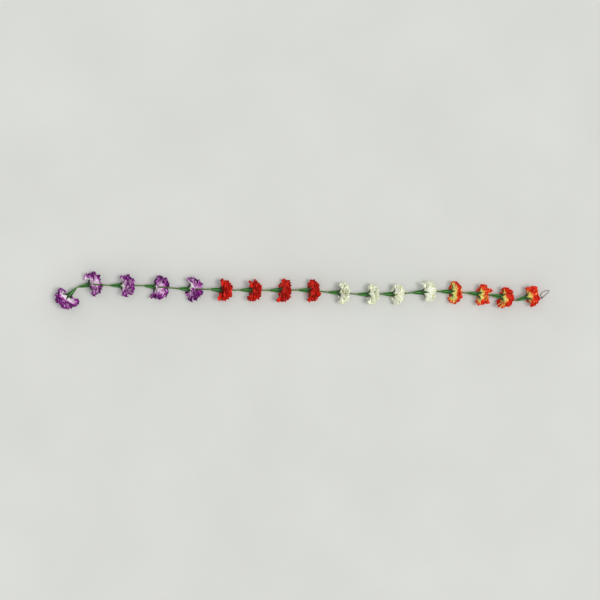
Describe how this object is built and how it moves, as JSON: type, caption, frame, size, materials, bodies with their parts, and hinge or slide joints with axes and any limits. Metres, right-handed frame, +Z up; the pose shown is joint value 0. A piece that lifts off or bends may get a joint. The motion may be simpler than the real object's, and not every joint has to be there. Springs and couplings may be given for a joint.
{
  "type": "flower door hanging",
  "caption": "Door hanging of artificial carnations in purple, red, white and orange, strung in a row on one thread with green calyces, spacer tubes and a loop to hang it by.",
  "frame": {"origin": "on the surface that the string lies on, under the middle of its box, measured without the free loop and its knot", "axes": "+X along the string from the first purple flower to the hanging loop, +Z up from the surface, +Y across the string"},
  "size_m": [1.4874, 0.1116, 0.0649],
  "materials": {
    "petal_purple": "purple polyester petals paling to white at the root",
    "petal_red": "scarlet polyester petals, darker in the folds",
    "petal_white": "cream white polyester petals with a green tinge at the root",
    "petal_orange": "orange red polyester petals with a yellow root",
    "calyx_green": "moulded green polyethylene, satin",
    "sleeve_olive": "thin olive green plastic tube",
    "thread_brown": "twisted brown thread"
  },
  "bodies": {
    "root": {"bloom_01": "petal_purple", "bloom_02": "petal_purple", "bloom_03": "petal_purple", "bloom_04": "petal_purple", "bloom_05": "petal_purple", "bloom_06": "petal_red", "bloom_07": "petal_red", "bloom_08": "petal_red", "bloom_09": "petal_red", "bloom_10": "petal_white", "bloom_11": "petal_white", "bloom_12": "petal_white", "bloom_13": "petal_white", "bloom_14": "petal_orange", "bloom_15": "petal_orange", "bloom_16": "petal_orange", "bloom_17": "petal_orange", "calyx_01": "calyx_green", "calyx_02": "calyx_green", "calyx_03": "calyx_green", "calyx_04": "calyx_green", "calyx_05": "calyx_green", "calyx_06": "calyx_green", "calyx_07": "calyx_green", "calyx_08": "calyx_green", "calyx_09": "calyx_green", "calyx_10": "calyx_green", "calyx_11": "calyx_green", "calyx_12": "calyx_green", "calyx_13": "calyx_green", "calyx_14": "calyx_green", "calyx_15": "calyx_green", "calyx_16": "calyx_green", "calyx_17": "calyx_green", "sleeve_01": "sleeve_olive", "sleeve_02": "sleeve_olive", "sleeve_03": "sleeve_olive", "sleeve_04": "sleeve_olive", "sleeve_05": "sleeve_olive", "sleeve_06": "sleeve_olive", "sleeve_07": "sleeve_olive", "sleeve_08": "sleeve_olive", "sleeve_09": "sleeve_olive", "sleeve_10": "sleeve_olive", "sleeve_11": "sleeve_olive", "sleeve_12": "sleeve_olive", "sleeve_13": "sleeve_olive", "sleeve_14": "sleeve_olive", "sleeve_15": "sleeve_olive", "sleeve_16": "sleeve_olive", "thread": "thread_brown", "loop_knot": "thread_brown", "hanging_loop": "thread_brown"}
  },
  "joints": []
}
